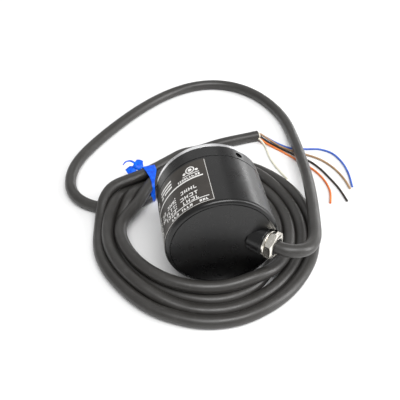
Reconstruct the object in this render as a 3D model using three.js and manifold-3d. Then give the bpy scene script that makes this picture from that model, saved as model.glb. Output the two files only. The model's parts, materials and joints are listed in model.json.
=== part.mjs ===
// Incremental rotary encoder, 40 mm body, solid 6 mm shaft, with its own coiled cable.
// Millimetres, +Z up. The encoder lies on its side: its shaft axis runs along +Y at the height of the
// body radius and the shaft points to +Y. The cable leaves the rear face at 45 degrees, makes one wide
// loop, dives under its own coil and winds round the encoder. Every station along Y is measured from the
// rear face, and the whole model is then shifted, so that its origin is on the floor below its middle.
import * as THREE from "three";
import { mergeVertices } from "three/addons/utils/BufferGeometryUtils.js";
import Module from "manifold-3d";

const wasm = await Module();
wasm.setup();

// ---------- driving dimensions ----------
const SEGMENTS = 48; // facets round the housing, shaft and disc
const SMALL_SEGMENTS = 24; // facets round bearings, washers and seals
const BALL_SEGMENTS = [8, 6];
const FIT = 0.03; // clearance between pieces that sit in each other

const ORIGIN_Y = 24.2; // middle of the encoder's length, from its outlet boss to the shaft tip

const BODY_RADIUS = 20;
const COVER_LENGTH = 31;
const COVER_WALL = 0.9;
const COVER_END_WALL = 1.2;
const COVER_EDGE = 1.0; // chamfer round the rear face
const SEAM_Y = 25.2; // fine groove that sets off the front band
const SEAM_WIDTH = 0.4;
const SEAM_DEPTH = 0.25;

const RIM_RADIUS = 19.8;
const RIM_REAR = 31.2;
const FLANGE_FACE = 33; // mounting face
const SPIGOT_RADIUS = BODY_RADIUS - COVER_WALL - 0.15;
const SPIGOT_REAR = 25.5;
const HUB_RADIUS = 10;
const HUB_REAR = 20.8;
const BOSS_FACE = 38;
const BOSS_BORE = 5.2;
const FIXING_CIRCLE = 15; // radius of the circle of the three tapped M3 holes
const FIXING_HOLE = 1.25;
const FIXING_DEPTH = 6;
const FIXING_ANGLES = [90, 210, 330];

const COVER_SCREW_Y = 27.9;
const COVER_SCREW_RADIUS = 1.15;
const COVER_SCREW_LENGTH = 3.2;
const COVER_SCREW_ANGLES = [57.5, 177.5, 297.5];

const SHAFT_RADIUS = 3 - FIT;
const SHAFT_REAR = 12.2;
const SHAFT_TIP = 53;
const SHAFT_COLLAR = 3.9;
const FLAT_LENGTH = 10;
const FLAT_DEPTH = 0.5;
const CLIP_GROOVE_RADIUS = 2.5;

const BEARING_WIDTH = 5;
const BEARING_BORE = 3;
const BEARING_OUTSIDE = 7.5;
const BALL_RADIUS = 1.2;
const BALL_PITCH = 5.25; // radius of the circle of the ball centres
const BALL_COUNT = 6;
const BALL_PLAY = 0.12; // between a ball and its groove
const POCKET_PLAY = 0.1; // between a ball and its pocket in the cage
const CAGE_HALF_WIDTH = 1.7;
const CAGE_HALF_WALL = 0.4;
const REAR_BEARING_Y = 22;
const FRONT_BEARING_Y = 31.8;

const HUB_SCREW_Y = 17.4;
const DISC_RADIUS = 13.3;
const DISC_REAR = 12.65;
const DISC_THICKNESS = 0.5;

const BOARD_RADIUS = 18.6;
const BOARD_REAR = 8.6;
const BOARD_FRONT = 9.8;
const SPACER_CIRCLE = 16.2;
const SPACER_ANGLES = [30, 150, 270];
const SENSOR_HEIGHT = 12.2; // distance of the optical track from the axis

const GLAND_X = 14.4; // where the gland axis pierces the rear face
const GLAND_ANGLE = (-3 * Math.PI) / 4; // turns +Y into the outlet direction, 45 degrees to the face
const OUTLET_RADIUS = 5;
const OUTLET_BORE = 4.1;
const OUTLET_INSIDE = -4; // stations along the outlet axis, from the rear face outwards
const OUTLET_END = 1.4;
const SPOT_FACE = 5.4;
const GLAND_THREAD = 3.8;
const NUT_REAR = 2.7;
const NUT_END = 5.6;
const NUT_FLATS = 9;

const CABLE_RADIUS = 2.4;
const LYING = 2.5; // height of the cable's centre line where it lies on the floor
const WIRE_RADIUS = 0.46;
const ON_FLOOR = 0.52; // height of a wire's centre where it lies down
const JOINT_GAP = 0.3; // between the end faces of the cable's separate solids

const COIL_X = -1;
const COIL_Y = 27.5;
const COIL_RADIUS_X = 45.8;
const COIL_RADIUS_Y = 49.5;
const COIL_WIDTH = 19.2;
const COIL_BOTTOM = 0.1;
const COIL_SHOULDER = 4.9;
const COIL_TOP = 8.8;

const TIE_ANGLE = 127; // degrees round the coil from +X
const TIE_WIDTH = 3.6;
const TIE_THICKNESS = 0.5;
const TIE_CLEARANCE = 0.9;

// ---------- materials ----------
const finish = (color, roughness, metalness = 0) =>
  new THREE.MeshStandardMaterial({ color, roughness, metalness });

const MATERIALS = {
  blackCover: finish(0x17181a, 0.42, 0.3),
  aluminium: finish(0xc9ccd0, 0.32, 1),
  steel: finish(0xb4b6b8, 0.25, 1),
  blackSteel: finish(0x1b1c1e, 0.45, 0.8),
  nickel: finish(0xd9d2c0, 0.22, 1),
  rubber: finish(0x1a1a1a, 0.75),
  label: finish(0x2b2420, 0.5),
  glass: finish(0xb9c4c8, 0.08),
  circuitBoard: finish(0x1f5a33, 0.5),
  blackPlastic: finish(0x202124, 0.55),
  whitePlastic: finish(0xe6e2d6, 0.5),
  brass: finish(0xb99a55, 0.35, 1),
  cable: finish(0x4a4a46, 0.6),
  tie: finish(0x0648e6, 0.4),
  wireBlue: finish(0x2a52be, 0.5),
  wireBrown: finish(0x8a5a3a, 0.5),
  wireBlack: finish(0x26221f, 0.5),
  wireOrange: finish(0xf08a3c, 0.5),
  wireWhite: finish(0xece8da, 0.5),
};

// ---------- geometry helpers ----------
const radians = (degrees) => (degrees * Math.PI) / 180;

// A point at a radius and an angle round the shaft axis, measured from +X towards +Z.
const aroundShaft = (radius, degrees, y = 0) =>
  new THREE.Vector3(
    radius * Math.cos(radians(degrees)),
    y,
    radius * Math.sin(radians(degrees)),
  );

// Keeps positions only, joins shared vertices and turns the faces outwards.
function closed(geometry) {
  const bare = new THREE.BufferGeometry();
  bare.setAttribute("position", geometry.getAttribute("position"));
  if (geometry.index) bare.setIndex(geometry.index);
  const merged = mergeVertices(bare, 1e-3);
  const index = merged.index.array;
  const position = merged.getAttribute("position");
  const corner = [0, 1, 2].map(() => new THREE.Vector3());
  let volume = 0;
  const kept = [];
  for (let i = 0; i < index.length; i += 3) {
    const face = [index[i], index[i + 1], index[i + 2]];
    if (new Set(face).size < 3) continue;
    corner.forEach((c, k) => c.fromBufferAttribute(position, face[k]));
    volume += corner[0].dot(corner[1].clone().cross(corner[2]));
    kept.push(...face);
  }
  if (volume < 0) kept.reverse();
  merged.setIndex(kept);
  return merged;
}

function solid(geometry) {
  const g = closed(geometry);
  return new wasm.Manifold(
    new wasm.Mesh({
      numProp: 3,
      vertProperties: g.getAttribute("position").array,
      triVerts: new Uint32Array(g.index.array),
    }),
  );
}

function geometryOf(manifold) {
  const mesh = manifold.getMesh();
  return new THREE.BufferGeometry()
    .setAttribute("position", new THREE.BufferAttribute(mesh.vertProperties, 3))
    .setIndex(new THREE.BufferAttribute(mesh.triVerts, 1));
}

// Cuts a list of geometries out of a first one.
const cut = (base, tools) =>
  geometryOf(tools.reduce((left, tool) => left.subtract(solid(tool)), solid(base)));

// Joins a list of geometries to a first one.
const join = (base, extras) =>
  geometryOf(extras.reduce((sum, extra) => sum.add(solid(extra)), solid(base)));

// Revolves [radius, y] pairs round the Y axis. The outline starts and ends on the axis or closes on itself.
const revolve = (outline, segments = SEGMENTS) =>
  closed(
    new THREE.LatheGeometry(
      outline.map(([radius, y]) => new THREE.Vector2(radius, y)),
      segments,
    ),
  );

// A plain ring or bush between two radii and two stations along Y.
const bush = (inner, outer, start, end, segments = SEGMENTS) =>
  revolve(
    [
      [inner, start],
      [outer, start],
      [outer, end],
      [inner, end],
      [inner, start],
    ],
    segments,
  );

// A rod along Y between two stations.
const rod = (radius, start, end, segments = SEGMENTS) =>
  revolve(
    [
      [0, start],
      [radius, start],
      [radius, end],
      [0, end],
    ],
    segments,
  );

// A box between two corners.
function block(x0, x1, y0, y1, z0, z1) {
  const box = new THREE.BoxGeometry(x1 - x0, y1 - y0, z1 - z0);
  return box.translate((x0 + x1) / 2, (y0 + y1) / 2, (z0 + z1) / 2);
}

// A rod that points out from the shaft axis at an angle, between two radii, at a station along Y.
function radialRod(radius, start, end, degrees, y, segments = 16) {
  return rod(radius, start, end, segments)
    .rotateZ(-Math.PI / 2)
    .rotateY(-radians(degrees))
    .translate(0, y, 0);
}

// A round tube along a smooth curve through the points.
function tube(points, radius, sides, steps) {
  const section = new THREE.Shape();
  for (let i = 0; i < sides; i++) {
    const angle = (2 * Math.PI * (i + 0.5)) / sides;
    const corner = [radius * Math.cos(angle), radius * Math.sin(angle)];
    if (i === 0) section.moveTo(...corner);
    else section.lineTo(...corner);
  }
  section.closePath();
  const path = new THREE.CatmullRomCurve3(
    points.map((p) => new THREE.Vector3(...p)),
    false,
    "centripetal",
  );
  path.arcLengthDivisions = 400;
  return closed(
    new THREE.ExtrudeGeometry(section, { steps, extrudePath: path }),
  );
}

function hexagon(flats, start, end) {
  return rod(flats / Math.sqrt(3), start, end, 6);
}

const model = new THREE.Group();
const encoder = new THREE.Group(); // everything on the shaft axis
encoder.position.z = BODY_RADIUS;
model.add(encoder);
const gland = new THREE.Group(); // everything on the outlet axis
gland.position.x = GLAND_X;
gland.rotation.z = GLAND_ANGLE;
encoder.add(gland);

function add(parent, name, geometry, material) {
  const mesh = new THREE.Mesh(geometry, material);
  mesh.name = name;
  parent.add(mesh);
  return mesh;
}

// ---------- housing ----------
// Moves a geometry from the outlet axis to the encoder's own axes.
const toOutlet = (geometry) => geometry.rotateZ(GLAND_ANGLE).translate(GLAND_X, 0, 0);

function addRearCover() {
  const inner = BODY_RADIUS - COVER_WALL;
  const shell = revolve([
    [0, 0],
    [BODY_RADIUS - COVER_EDGE, 0],
    [BODY_RADIUS, COVER_EDGE],
    [BODY_RADIUS, SEAM_Y - SEAM_WIDTH / 2],
    [BODY_RADIUS - SEAM_DEPTH, SEAM_Y - SEAM_WIDTH / 2],
    [BODY_RADIUS - SEAM_DEPTH, SEAM_Y + SEAM_WIDTH / 2],
    [BODY_RADIUS, SEAM_Y + SEAM_WIDTH / 2],
    [BODY_RADIUS, COVER_LENGTH],
    [inner, COVER_LENGTH],
    [inner, COVER_END_WALL],
    [0, COVER_END_WALL],
  ]);
  // Outside, the outlet boss is a short slanted cylinder. Inside, a wider pad backs its face, which is
  // spot-faced across the corner of the can so that the nut can turn.
  const outlet = toOutlet(rod(OUTLET_RADIUS, OUTLET_INSIDE, OUTLET_END, 32));
  const pad = solid(toOutlet(rod(SPOT_FACE + 0.6, OUTLET_INSIDE, OUTLET_END, 32)));
  const envelope = solid(rod(inner + COVER_WALL / 2, COVER_END_WALL / 2, COVER_LENGTH));
  const backing = geometryOf(pad.intersect(envelope));
  const bore = toOutlet(rod(OUTLET_BORE, OUTLET_INSIDE - 4, OUTLET_END + 1, 24));
  const spotFace = toOutlet(rod(SPOT_FACE, OUTLET_END, NUT_END + 4, 32));
  const screwHoles = COVER_SCREW_ANGLES.map((angle) =>
    radialRod(COVER_SCREW_RADIUS + 0.2, inner - 1, BODY_RADIUS + 1, angle, COVER_SCREW_Y),
  );
  const body = join(shell, [outlet, backing]);
  const cover = cut(body, [spotFace, bore, ...screwHoles]);
  add(encoder, "rear_cover", cover, MATERIALS.blackCover);
}

function addFrontFlange() {
  const seat = BEARING_OUTSIDE + FIT;
  const ringY = 29.6;
  const disc = revolve([
    [seat, HUB_REAR],
    [HUB_RADIUS, HUB_REAR],
    [HUB_RADIUS, SPIGOT_REAR],
    [SPIGOT_RADIUS, SPIGOT_REAR],
    [SPIGOT_RADIUS, ringY - 0.6],
    [SPIGOT_RADIUS - 0.7, ringY - 0.6],
    [SPIGOT_RADIUS - 0.7, ringY + 0.6],
    [SPIGOT_RADIUS, ringY + 0.6],
    [SPIGOT_RADIUS, RIM_REAR],
    [RIM_RADIUS, RIM_REAR],
    [RIM_RADIUS, FLANGE_FACE - 0.3],
    [RIM_RADIUS - 0.3, FLANGE_FACE],
    [HUB_RADIUS, FLANGE_FACE],
    [HUB_RADIUS, BOSS_FACE - 0.4],
    [HUB_RADIUS - 0.4, BOSS_FACE],
    [BOSS_BORE, BOSS_FACE],
    [BOSS_BORE, FRONT_BEARING_Y + BEARING_WIDTH + FIT],
    [seat, FRONT_BEARING_Y + BEARING_WIDTH + FIT],
    [seat, HUB_REAR],
  ]);
  const fixings = FIXING_ANGLES.map((angle) => {
    const at = aroundShaft(FIXING_CIRCLE, angle);
    return rod(FIXING_HOLE, FLANGE_FACE - FIXING_DEPTH, FLANGE_FACE + 1, 12).translate(at.x, 0, at.z);
  });
  const screwSeats = COVER_SCREW_ANGLES.map((angle) =>
    radialRod(COVER_SCREW_RADIUS + 0.2, SPIGOT_RADIUS - 3, SPIGOT_RADIUS + 2, angle, COVER_SCREW_Y),
  );
  add(encoder, "front_flange", cut(disc, [...fixings, ...screwSeats]), MATERIALS.aluminium);
  add(
    encoder,
    "cover_o_ring",
    bush(SPIGOT_RADIUS - 0.65, SPIGOT_RADIUS + 0.08, ringY - 0.5, ringY + 0.5),
    MATERIALS.rubber,
  );
}

function addCoverScrews() {
  COVER_SCREW_ANGLES.forEach((angle, i) => {
    const outer = BODY_RADIUS - 0.5;
    const socket = radialRod(0.6, outer - 1.2, outer + 1, angle, COVER_SCREW_Y, 6);
    const screw = radialRod(COVER_SCREW_RADIUS, outer - COVER_SCREW_LENGTH, outer, angle, COVER_SCREW_Y);
    add(encoder, `cover_screw_${i + 1}`, cut(screw, [socket]), MATERIALS.blackSteel);
  });
}

function addLabel() {
  const first = 97.5;
  const steps = 18;
  const stepAngle = 360 / SEGMENTS;
  const outline = new THREE.Shape();
  for (let i = 0; i <= steps; i++) {
    const p = aroundShaft(BODY_RADIUS + 0.13, first + i * stepAngle);
    if (i === 0) outline.moveTo(p.x, p.z);
    else outline.lineTo(p.x, p.z);
  }
  for (let i = steps; i >= 0; i--) {
    const p = aroundShaft(BODY_RADIUS + FIT, first + i * stepAngle);
    outline.lineTo(p.x, p.z);
  }
  outline.closePath();
  const sheet = new THREE.ExtrudeGeometry(outline, { depth: 22.6, bevelEnabled: false });
  // The outline was drawn in X and Z, so the extrusion's Y and Z change places.
  const position = sheet.getAttribute("position");
  for (let i = 0; i < position.count; i++) {
    const along = position.getZ(i) + 1.5;
    position.setXYZ(i, position.getX(i), along, position.getY(i));
  }
  add(encoder, "label", closed(sheet), MATERIALS.label);
}

// ---------- bearings ----------
function grooveOutline(edge, bottom, back, start) {
  const end = start + BEARING_WIDTH;
  const middle = start + BEARING_WIDTH / 2;
  const radius = BALL_RADIUS + BALL_PLAY;
  const depth = Math.abs(bottom - edge);
  const half = Math.sqrt(radius ** 2 - (radius - depth) ** 2);
  const direction = Math.sign(bottom - edge);
  const centre = bottom - direction * radius;
  const spread = Math.asin(half / radius);
  const arc = [-1, -0.5, 0, 0.5, 1].map((k) => [
    centre + direction * radius * Math.cos(spread * k),
    middle + radius * Math.sin(spread * k),
  ]);
  return [[back, start], [edge, start], ...arc, [edge, end], [back, end], [back, start]];
}

function addBearing(name, start) {
  const innerEdge = BALL_PITCH - 0.75;
  const outerEdge = BALL_PITCH + 0.75;
  const reach = BALL_RADIUS + BALL_PLAY;
  const middle = start + BEARING_WIDTH / 2;
  const inner = grooveOutline(innerEdge, BALL_PITCH - reach, BEARING_BORE, start);
  const outer = grooveOutline(outerEdge, BALL_PITCH + reach, BEARING_OUTSIDE, start);
  add(encoder, `${name}_bearing_inner_ring`, revolve(inner, SMALL_SEGMENTS), MATERIALS.steel);
  add(encoder, `${name}_bearing_outer_ring`, revolve(outer, SMALL_SEGMENTS), MATERIALS.steel);
  const pockets = [];
  for (let i = 0; i < BALL_COUNT; i++) {
    const at = aroundShaft(BALL_PITCH, (360 / BALL_COUNT) * i, middle);
    const ball = new THREE.SphereGeometry(BALL_RADIUS, ...BALL_SEGMENTS);
    const pocket = new THREE.SphereGeometry(BALL_RADIUS + POCKET_PLAY, ...BALL_SEGMENTS);
    add(encoder, `${name}_ball_${i + 1}`, closed(ball), MATERIALS.steel).position.copy(at);
    pockets.push(pocket.translate(at.x, at.y, at.z));
  }
  const cage = bush(
    BALL_PITCH - CAGE_HALF_WALL,
    BALL_PITCH + CAGE_HALF_WALL,
    middle - CAGE_HALF_WIDTH,
    middle + CAGE_HALF_WIDTH,
    SMALL_SEGMENTS,
  );
  add(encoder, `${name}_bearing_cage`, cut(cage, pockets), MATERIALS.brass);
}

// The flat rings that hold the bearings: inner radius, outer radius, start and end of each.
function addBearingHardware() {
  const spacerStart = REAR_BEARING_Y + BEARING_WIDTH + FIT;
  const spacerEnd = FRONT_BEARING_Y - FIT;
  const rings = [
    ["bearing_spacer", 6.4, BEARING_OUTSIDE, spacerStart, spacerEnd, MATERIALS.aluminium],
    ["bearing_circlip", 6.3, BEARING_OUTSIDE, 21.3, 21.9, MATERIALS.blackSteel],
    ["shaft_seal", 3.15, BOSS_BORE - 0.05, 36.95, 37.85, MATERIALS.rubber],
    ["preload_washer", 3.06, 4.3, 21.4, 21.95, MATERIALS.steel],
    ["shaft_clip", CLIP_GROOVE_RADIUS + FIT, 4.7, 20.75, 21.3, MATERIALS.blackSteel],
  ];
  rings.forEach(([name, inner, outer, start, end, material]) => {
    add(encoder, name, bush(inner, outer, start, end, SMALL_SEGMENTS), material);
  });
}

// ---------- shaft and disc ----------
function addShaft() {
  const rearEnd = REAR_BEARING_Y + BEARING_WIDTH;
  const turned = revolve([
    [0, SHAFT_REAR],
    [SHAFT_RADIUS, SHAFT_REAR],
    [SHAFT_RADIUS, 20.7],
    [CLIP_GROOVE_RADIUS, 20.7],
    [CLIP_GROOVE_RADIUS, 21.35],
    [SHAFT_RADIUS, 21.35],
    [SHAFT_RADIUS, rearEnd + FIT],
    [SHAFT_COLLAR, rearEnd + FIT],
    [SHAFT_COLLAR, FRONT_BEARING_Y - FIT],
    [SHAFT_RADIUS, FRONT_BEARING_Y - FIT],
    [SHAFT_RADIUS, SHAFT_TIP - 0.5],
    [SHAFT_RADIUS - 0.5, SHAFT_TIP],
    [0, SHAFT_TIP],
  ]);
  const flatZ = SHAFT_RADIUS - FLAT_DEPTH;
  const flat = block(-4, 4, SHAFT_TIP - FLAT_LENGTH, SHAFT_TIP + 1, flatZ, 5);
  add(encoder, "shaft", cut(turned, [flat]), MATERIALS.steel);
}

function addDisc() {
  const hubRear = DISC_REAR + DISC_THICKNESS + FIT;
  const bore = SHAFT_RADIUS + FIT;
  const hub = revolve([
    [bore, hubRear],
    [7.4, hubRear],
    [7.4, hubRear + 1.2],
    [6, hubRear + 1.2],
    [6, 19.6],
    [bore, 19.6],
    [bore, hubRear],
  ]);
  const threadHole = radialRod(0.95, bore - 1, 7, 0, HUB_SCREW_Y, 12);
  add(encoder, "disc_hub", cut(hub, [threadHole]), MATERIALS.aluminium);
  const grub = radialRod(0.8, bore + FIT, 5.6, 0, HUB_SCREW_Y, 12);
  const key = radialRod(0.4, 4.8, 6, 0, HUB_SCREW_Y, 6);
  add(encoder, "hub_set_screw", cut(grub, [key]), MATERIALS.blackSteel);
  add(
    encoder,
    "code_disc",
    bush(bore, DISC_RADIUS, DISC_REAR, DISC_REAR + DISC_THICKNESS),
    MATERIALS.glass,
  );
}

// ---------- optics and electronics ----------
function addElectronics() {
  const spacerStart = BOARD_FRONT + FIT;
  const spacerEnd = SPIGOT_REAR - FIT;
  const board = rod(BOARD_RADIUS, BOARD_REAR, BOARD_FRONT);
  const holes = [];
  SPACER_ANGLES.forEach((angle, i) => {
    const at = aroundShaft(SPACER_CIRCLE, angle);
    const place = (geometry) => geometry.translate(at.x, 0, at.z);
    holes.push(place(rod(1.15, BOARD_REAR - 1, BOARD_FRONT + 1, 12)));
    const thread = place(rod(1.05, spacerStart - 1, spacerStart + 4.2, 12));
    const spacer = cut(place(hexagon(4, spacerStart, spacerEnd)), [thread]);
    add(encoder, `board_spacer_${i + 1}`, spacer, MATERIALS.brass);
    const head = place(rod(1.9, BOARD_REAR - FIT - 1.3, BOARD_REAR - FIT, 16));
    const shank = place(rod(0.95, BOARD_REAR - 1, spacerStart + 3.6, 12));
    const slot = block(at.x - 3, at.x + 3, BOARD_REAR - 2, BOARD_REAR - 0.9, at.z - 0.25, at.z + 0.25);
    add(encoder, `board_screw_${i + 1}`, cut(join(head, [shank]), [slot]), MATERIALS.steel);
  });
  add(encoder, "circuit_board", cut(board, holes), MATERIALS.circuitBoard);

  const track = SENSOR_HEIGHT;
  add(
    encoder,
    "photo_sensor",
    block(-3.2, 3.2, BOARD_FRONT + FIT, BOARD_FRONT + 1.5, track - 2.6, track + 2.6),
    MATERIALS.blackPlastic,
  );
  add(
    encoder,
    "slit_mask",
    block(-2.6, 2.6, BOARD_FRONT + 1.55, BOARD_FRONT + 2.45, track - 2, track + 2),
    MATERIALS.glass,
  );
  const holder = block(-5, 5, 14.2, SPIGOT_REAR - FIT, HUB_RADIUS + 0.4, 15.8);
  const lampHole = rod(1.7, 14, 19, 16).translate(0, 0, track);
  add(encoder, "lamp_holder", cut(holder, [lampHole]), MATERIALS.blackPlastic);
  const lamp = rod(1.5, 14.4, 18.7, 16).translate(0, 0, track);
  add(encoder, "infrared_lamp", lamp, MATERIALS.glass);

  add(encoder, "wire_header", block(-4.4, 4.4, 5, BOARD_REAR - FIT, -9.4, -5.2), MATERIALS.whitePlastic);
}

// ---------- cable outlet ----------
function addGland() {
  const bore = CABLE_RADIUS + 0.25;
  const collarStart = OUTLET_END + 0.1;
  const body = revolve(
    [
      [bore, -4.2],
      [GLAND_THREAD, -4.2],
      [GLAND_THREAD, collarStart],
      [OUTLET_RADIUS - 0.2, collarStart],
      [OUTLET_RADIUS - 0.2, NUT_REAR - 0.1],
      [3.5, NUT_REAR - 0.1],
      [3.5, NUT_REAR + 1],
      [bore, NUT_REAR + 1],
      [bore, -4.2],
    ],
    24,
  );
  add(gland, "gland_body", body, MATERIALS.nickel);
  const pocket = rod(3.65, NUT_REAR - 1, NUT_REAR + 2.2, 24);
  const exit = rod(bore, NUT_REAR, NUT_END + 1, 24);
  const nut = cut(hexagon(NUT_FLATS, NUT_REAR, NUT_END), [pocket, exit]);
  add(gland, "gland_nut", nut, MATERIALS.nickel);
  add(gland, "gland_seal", bush(CABLE_RADIUS + 0.1, 3.5, NUT_REAR + 1.1, NUT_REAR + 2.1, 24), MATERIALS.rubber);
  add(gland, "cable_entry", rod(CABLE_RADIUS, -5, NUT_END - 0.1, 16), MATERIALS.cable);
  const leads = [
    [10.5, 3.9, 0],
    [9.2, 5.0, -0.6],
    [6.8, 5.7, -1.4],
    [4.4, 6.2, -2.4],
    [2.4, 6.5, -3.6],
  ];
  add(encoder, "inner_leads", tube(leads, 1.1, 8, 12), MATERIALS.wireWhite);
}

// ---------- cable ----------
// Centre line from the gland nut, over the coil, once round behind the encoder and back under the coil.
const LEAD_ROUTE = [
  [18.58, -4.18, 20],
  [21, -5.9, 20],
  [24.7, -6.7, 19.9],
  [28.7, -5.7, 19.7],
  [31.7, -3, 19.2],
  [33.2, 0.4, 18.5],
  [35, 5.6, 17.4],
  [37.2, 12.4, 16],
  [39.3, 20, 14.5],
  [41.4, 28.2, 12.9],
  [43.5, 37.4, 11],
  [45.6, 48, 9],
  [47.4, 60, 7],
  [49, 73, 5],
  [50.2, 87, 3.5],
  [50, 98.5, 2.6],
  [47.4, 110, LYING],
  [41.6, 123.2, LYING],
  [32, 133.4, LYING],
  [19.6, 138.2, LYING],
  [6.4, 136.6, LYING],
  [-8.4, 129, LYING],
  [-22.4, 117.2, LYING],
  [-34.6, 104, LYING],
  [-45.4, 90.2, LYING],
  [-52.8, 77.4, LYING],
  [-54.8, 67, LYING],
  [-54, 57.6, LYING],
  [-49, 50.2, LYING],
  [-46.2, 48.2, LYING],
];

// Centre line of the free end, from the coil to the cut jacket.
const TAIL_ROUTE = [
  [6, 80.3, LYING],
  [13, 83, LYING],
  [24, 85.4, LYING],
  [33.6, 87.2, LYING],
];

// Centre lines of the five conductors, from the cut jacket to their ends.
const WIRES = {
  blue: [
    [34.4, 88.6, 2.6],
    [38, 86.2, 1.4],
    [43.2, 80.9, ON_FLOOR],
    [47.5, 77.3, ON_FLOOR],
    [54, 75.6, ON_FLOOR],
    [60.9, 74.3, ON_FLOOR],
    [65.3, 70.8, ON_FLOOR],
    [67.7, 64.4, ON_FLOOR],
    [68.2, 56, ON_FLOOR],
    [66.6, 45.4, ON_FLOOR],
  ],
  brown: [
    [34.4, 87.4, 3.4],
    [38.2, 84.7, 1.8],
    [43.2, 79.3, ON_FLOOR],
    [48.2, 74.6, ON_FLOOR],
    [53.7, 71, ON_FLOOR],
    [58.9, 66.4, ON_FLOOR],
    [62.8, 59.4, ON_FLOOR],
    [64.8, 51.6, ON_FLOOR],
    [65.2, 44.3, ON_FLOOR],
  ],
  black: [
    [34.4, 86.9, 2.4],
    [38, 83.2, 0.9],
    [43.1, 77.5, ON_FLOOR],
    [48, 71.8, ON_FLOOR],
    [53.2, 66.3, ON_FLOOR],
    [56.4, 60.2, ON_FLOOR],
    [58.6, 53, ON_FLOOR],
    [60.4, 45.4, ON_FLOOR],
    [61.2, 36.6, ON_FLOOR],
  ],
  orange: [
    [34.4, 85.8, 1.5],
    [37.2, 82.2, 0.9],
    [42.2, 76.2, ON_FLOOR],
    [47, 69.4, ON_FLOOR],
    [51.2, 63.4, ON_FLOOR],
    [54.4, 57.2, ON_FLOOR],
    [56, 50.6, ON_FLOOR],
    [55.9, 43.6, ON_FLOOR],
    [53.7, 36.4, ON_FLOOR],
  ],
  white: [
    [34.4, 84.4, 1.9],
    [35.9, 81.4, 0.62],
    [36, 77.4, ON_FLOOR],
    [36, 71.8, ON_FLOOR],
    [36.8, 66, ON_FLOOR],
    [38.2, 60.4, ON_FLOOR],
    [39.8, 55.1, ON_FLOOR],
  ],
};

function addCable() {
  add(model, "cable_lead", tube(LEAD_ROUTE, CABLE_RADIUS, 8, 46), MATERIALS.cable);
  add(model, "cable_tail", tube(TAIL_ROUTE, CABLE_RADIUS, 8, 6), MATERIALS.cable);
  Object.entries(WIRES).forEach(([colour, route]) => {
    const key = `wire${colour[0].toUpperCase()}${colour.slice(1)}`;
    add(model, `wire_${colour}`, tube(route, WIRE_RADIUS, 8, 14), MATERIALS[key]);
  });
  const inner = COIL_RADIUS_X - COIL_WIDTH;
  const bundle = revolve([
    [inner, COIL_BOTTOM],
    [COIL_RADIUS_X, COIL_BOTTOM],
    [COIL_RADIUS_X, COIL_SHOULDER],
    [COIL_RADIUS_X - 6, COIL_TOP],
    [inner + 2, COIL_TOP],
    [inner, COIL_TOP - 2],
    [inner, COIL_BOTTOM],
  ]);
  bundle
    .rotateX(Math.PI / 2)
    .scale(1, COIL_RADIUS_Y / COIL_RADIUS_X, 1)
    .translate(COIL_X, COIL_Y, 0);
  // The turns press up to the can, so the can's room is taken out of the bundle, and the tie's strap
  // passes through a slot under it.
  const canRoom = rod(BODY_RADIUS + 0.5, -0.6, FLANGE_FACE + 1).translate(0, 0, BODY_RADIUS);
  const { matrix, half } = tiePlace();
  const slotHalf = TIE_WIDTH / 2 + JOINT_GAP;
  const slot = block(-half, half, -1, TIE_THICKNESS + JOINT_GAP, -slotHalf, slotHalf);
  add(model, "cable_coil", cut(bundle, [canRoom, slot.applyMatrix4(matrix)]), MATERIALS.cable);
}

// The tie's own axes, X outwards across the bundle, Y up and Z along it, and half its strap's length.
function tiePlace() {
  const onCoil = (inset) =>
    new THREE.Vector3(
      COIL_X + (COIL_RADIUS_X - inset) * Math.cos(radians(TIE_ANGLE)),
      COIL_Y + (COIL_RADIUS_Y / COIL_RADIUS_X) * (COIL_RADIUS_X - inset) * Math.sin(radians(TIE_ANGLE)),
      0,
    );
  const outerPoint = onCoil(0);
  const innerPoint = onCoil(COIL_WIDTH);
  const outwards = outerPoint.clone().sub(innerPoint);
  const half = outwards.length() / 2 + TIE_CLEARANCE + TIE_THICKNESS;
  outwards.normalize();
  const up = new THREE.Vector3(0, 0, 1);
  const matrix = new THREE.Matrix4().makeBasis(outwards, up, outwards.clone().cross(up));
  matrix.setPosition(outerPoint.add(innerPoint).multiplyScalar(0.5));
  return { matrix, half };
}

// The tie goes round the whole bundle, and its twisted ends stand off its outer upper corner.
function addTie() {
  const { matrix, half } = tiePlace();
  const height = COIL_TOP + JOINT_GAP + TIE_THICKNESS;
  const band = block(-half, half, 0, height, -TIE_WIDTH / 2, TIE_WIDTH / 2);
  const opening = block(
    -half + TIE_THICKNESS,
    half - TIE_THICKNESS,
    TIE_THICKNESS,
    height - TIE_THICKNESS,
    -TIE_WIDTH,
    TIE_WIDTH,
  );
  const twist = rod(0.7, 0, 3.4, 8).rotateZ(-0.5).translate(half - 2.4, height - 0.3, 0);
  const leafA = block(-2.6, 2.6, -0.25, 0.25, -1.6, 1.6)
    .rotateY(0.5)
    .translate(half - 2.2, height + 2.6, 1.6);
  const leafB = block(-2.4, 2.4, -0.25, 0.25, -1.6, 1.6)
    .rotateY(-0.6)
    .translate(half + 0.8, height + 2.4, -0.4);
  const tie = join(cut(band, [opening]), [twist, leafA, leafB]);
  add(model, "cable_tie", tie, MATERIALS.tie).applyMatrix4(matrix);
}

addRearCover();
addFrontFlange();
addCoverScrews();
addLabel();
addBearing("rear", REAR_BEARING_Y);
addBearing("front", FRONT_BEARING_Y);
addBearingHardware();
addShaft();
addDisc();
addElectronics();
addGland();
addCable();
addTie();
model.position.y = -ORIGIN_Y;

export default model;
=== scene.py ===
"""Looks of an incremental rotary encoder with its own coiled cable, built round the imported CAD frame.

Lengths in the tables below are millimetres, measured as in the part: Y runs from the can's rear face to
the shaft's tip, Z from the floor. place() turns them into the frame's metres.
"""

import json
import math
import random

import bmesh
import bpy
import numpy as np
from mathutils import Matrix, Vector


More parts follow.
